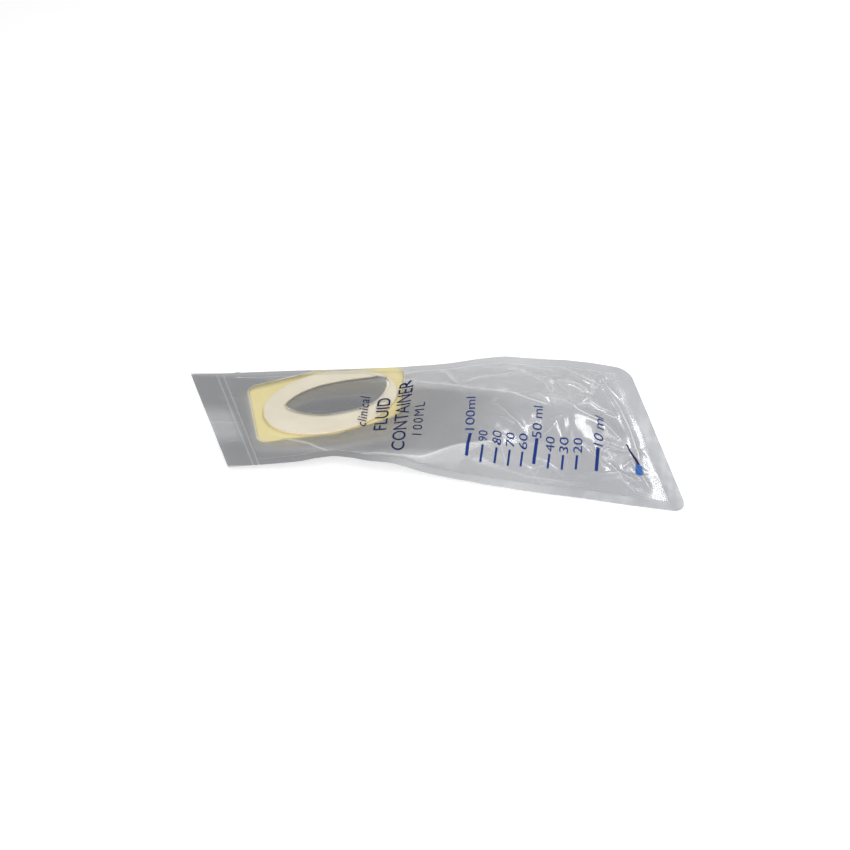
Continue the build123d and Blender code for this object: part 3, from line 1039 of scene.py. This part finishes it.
def put_bar(bag, u0, u1, v0, v1, lean=0.0, nu=5, nv=40):
    s = np.linspace(0, 1, nu)[:, None] * np.ones((1, nv))
    t = np.linspace(0, 1, nv)[None, :] * np.ones((nu, 1))
    u = u0 + (u1 - u0) * s
    v = v0 + (v1 - v0) * t
    u = u + lean * (v - (v0 + v1) / 2) * PRINT_WIDTH
    bag.append((u.ravel(), v.ravel(), grid_faces(nu, nv)))


def ink_piece(name, bag, mat, slot_name, cad):
    verts, faces, base = [], [], 0
    for u, v, f in bag:
        p = upper(u, v)
        e = 0.25
        du = upper(u + e, v) - upper(u - e, v)
        dv = upper(u, v + e / PRINT_WIDTH) - upper(u, v - e / PRINT_WIDTH)
        nrm = np.cross(du, dv)
        nrm /= np.linalg.norm(nrm, axis=1)[:, None]
        p = p + nrm * LIFT
        verts.append(p)
        faces += [tuple(i + base for i in q) for q in f]
        base += len(p)
    obj = make_mesh(name, seated(np.vstack(verts)), faces)
    return finish_piece(obj, mat, slot_name, cad)


label = []
put_text(label, "clinical", 4.4, 73.8, 0.335, 0.665, lean=0.11, shear=0.2, spacing=1.1, bold=0.02)
put_text(label, "FLUID", 6.2, 83.4, 0.296, 0.633, lean=0.11, bold=0.05)
put_text(label, "CONTAINER", 6.4, 92.7, 0.10, 0.777, lean=0.095, bold=0.05)
put_text(label, "100ML", 4.6, 99.6, 0.235, 0.53, lean=0.06, spacing=1.25)
ink_piece("label_text", label, navy_mat, "ink_navy", "label_print")

SCALE_U = [121.4 + 6.18 * i for i in range(9)] + [180.0]
# the three long lines: wording, the line's ends and the wording's ends as shares of the width
MAJOR = {
    0: ("100ml", 0.125, 0.258, 0.285, 0.555),
    5: ("50 ml", 0.150, 0.285, 0.290, 0.510),
    9: ("10 ml", 0.155, 0.290, 0.306, 0.515),
}
ticks, numbers = [], []
for i, u in enumerate(SCALE_U):
    shift = 0.0055 * i
    lean = 0.13 - 0.01 * i
    if i in MAJOR:
        word, t0, t1, n0, n1 = MAJOR[i]
        put_bar(ticks, u - 0.75, u + 0.75, t0, t1, lean)
        put_text(numbers, word, 4.3, u + 2.4, n0, n1)
    else:
        put_bar(ticks, u - 0.5, u + 0.5, 0.103 + shift, 0.178 + shift, lean)
        put_text(numbers, str(100 - 10 * i), 4.0, u + 2.3, 0.191 + shift, 0.279 + shift)
ink_piece("scale_ticks", ticks, scale_mat, "ink_navy", "graduation_ticks")
ink_piece("scale_numbers", numbers, scale_mat, "ink_navy", "graduation_numerals")



def corner_patch(u_fn, v_fn, nt, ns):
    """A patch of print whose corners follow two rules in its own two shares."""
    t, s = np.meshgrid(np.linspace(0, 1, nt), np.linspace(0, 1, ns), indexing="ij")
    return [(u_fn(t, s).ravel(), v_fn(t).ravel(), grid_faces(nt, ns))]


line = corner_patch(lambda t, s: 192.6 + t * 5.2 + s * (0.7 + 1.0 * t), lambda t: 0.395 - 0.125 * t, 30, 5)
flag = corner_patch(lambda t, s: 197.0 + s * 3.2 + t * 0.4, lambda t: 0.268 - 0.075 * t, 16, 8)
ink_piece("drain_corner_line", line, navy_mat, "ink_navy", "drain_mark")
ink_piece("drain_corner_flag", flag, blue_mat, "ink_blue", "drain_mark")

# ---------------------------------------------------------------- floor, light, camera
floor_mat, nt, bsdf = new_material("floor")
coord = node(nt, "ShaderNodeTexCoord")
mottle = node(nt, "ShaderNodeTexNoise", Scale=3.0, Detail=2.0)
nt.links.new(coord.outputs["Object"], mottle.inputs["Vector"])
floor_tone = ramp(nt, mottle.outputs["Fac"], [(0.3, (0.90, 0.90, 0.90)), (0.7, (0.92, 0.92, 0.92))])
nt.links.new(floor_tone.outputs["Color"], bsdf.inputs["Base Color"])
bsdf.inputs["Roughness"].default_value = 0.9
bsdf.inputs["Specular IOR Level"].default_value = 0.1
bsdf.inputs["Emission Color"].default_value = (1.0, 1.0, 1.0, 1.0)
bsdf.inputs["Emission Strength"].default_value = 0.35
bpy.ops.mesh.primitive_plane_add(size=8.0, location=(0, 0, 0))
floor = bpy.context.object
floor.name = "floor"
floor.data.materials.append(floor_mat)

scene = bpy.context.scene
world = bpy.data.worlds.new("studio")
scene.world = world
world.use_nodes = True
bg = world.node_tree.nodes["Background"]
wt = world.node_tree
wcoord = node(wt, "ShaderNodeTexCoord")
wsep = node(wt, "ShaderNodeSeparateXYZ")
wt.links.new(wcoord.outputs["Generated"], wsep.inputs[0])
SKY_GREYS = [(0.0, 0.9), (0.2, 0.6), (0.36, 0.2), (0.60, 0.2), (0.78, 0.5), (1.0, 0.6)]
sky = ramp(wt, wsep.outputs["Z"], [(at, (grey,) * 3) for at, grey in SKY_GREYS])
wt.links.new(sky.outputs["Color"], bg.inputs["Color"])
bg.inputs["Strength"].default_value = 1.0
scene.view_settings.view_transform = "Standard"
scene.cycles.transparent_max_bounces = 24


def area_light(name, place, target, size_x, size_y, power):
    data = bpy.data.lights.new(name, "AREA")
    data.shape = "RECTANGLE"
    data.size = size_x
    data.size_y = size_y
    data.energy = power
    obj = bpy.data.objects.new(name, data)
    obj.location = place
    obj.rotation_euler = (Vector(target) - Vector(place)).to_track_quat("-Z", "Y").to_euler()
    scene.collection.objects.link(obj)


KEY_WATTS, STREAK_WATTS, FILL_WATTS = 3.4, 0.7, 9.0
area_light("key", (0.25, 0.55, 1.0), (0.03, 0, 0), 0.35, 0.22, KEY_WATTS)
area_light("streak", (0.55, 0.55, 0.75), (0.05, 0, 0), 0.10, 0.4, STREAK_WATTS)
area_light("fill", (0.1, -0.9, 0.7), (0, 0, 0), 0.9, 0.9, FILL_WATTS)

CAM_ELEVATION = math.radians(33.0)
CAM_TURN = math.radians(9.0)
CAM_DISTANCE = 0.70
look = Vector(seated([0.0, 0.0, 0.0]))
back = Vector((
    math.sin(CAM_TURN) * math.cos(CAM_ELEVATION),
    -math.cos(CAM_TURN) * math.cos(CAM_ELEVATION),
    math.sin(CAM_ELEVATION),
))
cam_data = bpy.data.cameras.new("camera")
cam_data.sensor_width = 36.0
cam_data.lens = 36.0 * 2.1 * 700.0 / 850.0
cam_data.clip_start = 0.01
cam = bpy.data.objects.new("camera", cam_data)
cam.location = look + back * CAM_DISTANCE
cam.rotation_euler = (-back).to_track_quat("-Z", "Y").to_euler()
scene.collection.objects.link(cam)
scene.camera = cam
